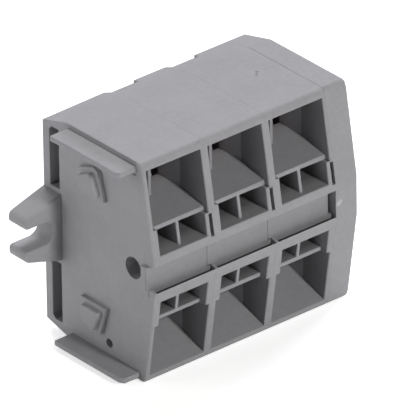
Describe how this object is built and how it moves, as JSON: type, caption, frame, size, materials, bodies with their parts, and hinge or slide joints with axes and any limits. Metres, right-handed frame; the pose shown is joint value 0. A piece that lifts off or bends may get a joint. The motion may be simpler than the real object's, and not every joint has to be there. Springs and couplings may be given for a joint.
{
  "type": "terminal block",
  "caption": "Screw-mounted spring-clamp terminal strip with wire funnels and driver slots on both sides of a marker groove.",
  "frame": {"origin": "centre of the mounting face, midway between the two screw slots", "axes": "+X along the strip from the lug of the first housing to the lug of the end plate; +Y into the surface it is screwed to, so the wires enter from -Y; +Z across the strip towards its upper row"},
  "size_m": [0.036, 0.0174, 0.0252],
  "materials": {
    "housing_plastic": "fine matte moulded polyamide, light grey",
    "busbar_metal": "plain copper strip, dull",
    "clamp_steel": "stainless spring strip, satin"
  },
  "bodies": {
    "root": {"flange_housing": "housing_plastic", "housing_2": "housing_plastic", "housing_3": "housing_plastic", "end_plate": "housing_plastic", "busbar_1": "busbar_metal", "busbar_2": "busbar_metal", "busbar_3": "busbar_metal", "clamp_bow_upper_left_1": "clamp_steel", "clamp_bow_upper_right_1": "clamp_steel", "clamp_bow_lower_left_1": "clamp_steel", "clamp_bow_lower_right_1": "clamp_steel", "clamp_bow_upper_left_2": "clamp_steel", "clamp_bow_upper_right_2": "clamp_steel", "clamp_bow_lower_left_2": "clamp_steel", "clamp_bow_lower_right_2": "clamp_steel", "clamp_bow_upper_left_3": "clamp_steel", "clamp_bow_upper_right_3": "clamp_steel", "clamp_bow_lower_left_3": "clamp_steel", "clamp_bow_lower_right_3": "clamp_steel"},
    "cage_upper_left_1": {"clamp_cage_upper_left_1": "clamp_steel"},
    "cage_upper_right_1": {"clamp_cage_upper_right_1": "clamp_steel"},
    "cage_lower_left_1": {"clamp_cage_lower_left_1": "clamp_steel"},
    "cage_lower_right_1": {"clamp_cage_lower_right_1": "clamp_steel"},
    "cage_upper_left_2": {"clamp_cage_upper_left_2": "clamp_steel"},
    "cage_upper_right_2": {"clamp_cage_upper_right_2": "clamp_steel"},
    "cage_lower_left_2": {"clamp_cage_lower_left_2": "clamp_steel"},
    "cage_lower_right_2": {"clamp_cage_lower_right_2": "clamp_steel"},
    "cage_upper_left_3": {"clamp_cage_upper_left_3": "clamp_steel"},
    "cage_upper_right_3": {"clamp_cage_upper_right_3": "clamp_steel"},
    "cage_lower_left_3": {"clamp_cage_lower_left_3": "clamp_steel"},
    "cage_lower_right_3": {"clamp_cage_lower_right_3": "clamp_steel"}
  },
  "joints": [
    {"name": "open_upper_left_1", "type": "slide", "parent": "root", "child": "cage_upper_left_1", "axis": [0, 0, 1], "range_m": [0, 0.0016], "stiffness_N_per_m": 6000, "deforming": ["clamp_bow_upper_left_1"]},
    {"name": "open_upper_right_1", "type": "slide", "parent": "root", "child": "cage_upper_right_1", "axis": [0, 0, 1], "range_m": [0, 0.0016], "stiffness_N_per_m": 6000, "deforming": ["clamp_bow_upper_right_1"]},
    {"name": "open_lower_left_1", "type": "slide", "parent": "root", "child": "cage_lower_left_1", "axis": [0, 0, -1], "range_m": [0, 0.0016], "stiffness_N_per_m": 6000, "deforming": ["clamp_bow_lower_left_1"]},
    {"name": "open_lower_right_1", "type": "slide", "parent": "root", "child": "cage_lower_right_1", "axis": [0, 0, -1], "range_m": [0, 0.0016], "stiffness_N_per_m": 6000, "deforming": ["clamp_bow_lower_right_1"]},
    {"name": "open_upper_left_2", "type": "slide", "parent": "root", "child": "cage_upper_left_2", "axis": [0, 0, 1], "range_m": [0, 0.0016], "stiffness_N_per_m": 6000, "deforming": ["clamp_bow_upper_left_2"]},
    {"name": "open_upper_right_2", "type": "slide", "parent": "root", "child": "cage_upper_right_2", "axis": [0, 0, 1], "range_m": [0, 0.0016], "stiffness_N_per_m": 6000, "deforming": ["clamp_bow_upper_right_2"]},
    {"name": "open_lower_left_2", "type": "slide", "parent": "root", "child": "cage_lower_left_2", "axis": [0, 0, -1], "range_m": [0, 0.0016], "stiffness_N_per_m": 6000, "deforming": ["clamp_bow_lower_left_2"]},
    {"name": "open_lower_right_2", "type": "slide", "parent": "root", "child": "cage_lower_right_2", "axis": [0, 0, -1], "range_m": [0, 0.0016], "stiffness_N_per_m": 6000, "deforming": ["clamp_bow_lower_right_2"]},
    {"name": "open_upper_left_3", "type": "slide", "parent": "root", "child": "cage_upper_left_3", "axis": [0, 0, 1], "range_m": [0, 0.0016], "stiffness_N_per_m": 6000, "deforming": ["clamp_bow_upper_left_3"]},
    {"name": "open_upper_right_3", "type": "slide", "parent": "root", "child": "cage_upper_right_3", "axis": [0, 0, 1], "range_m": [0, 0.0016], "stiffness_N_per_m": 6000, "deforming": ["clamp_bow_upper_right_3"]},
    {"name": "open_lower_left_3", "type": "slide", "parent": "root", "child": "cage_lower_left_3", "axis": [0, 0, -1], "range_m": [0, 0.0016], "stiffness_N_per_m": 6000, "deforming": ["clamp_bow_lower_left_3"]},
    {"name": "open_lower_right_3", "type": "slide", "parent": "root", "child": "cage_lower_right_3", "axis": [0, 0, -1], "range_m": [0, 0.0016], "stiffness_N_per_m": 6000, "deforming": ["clamp_bow_lower_right_3"]}
  ]
}
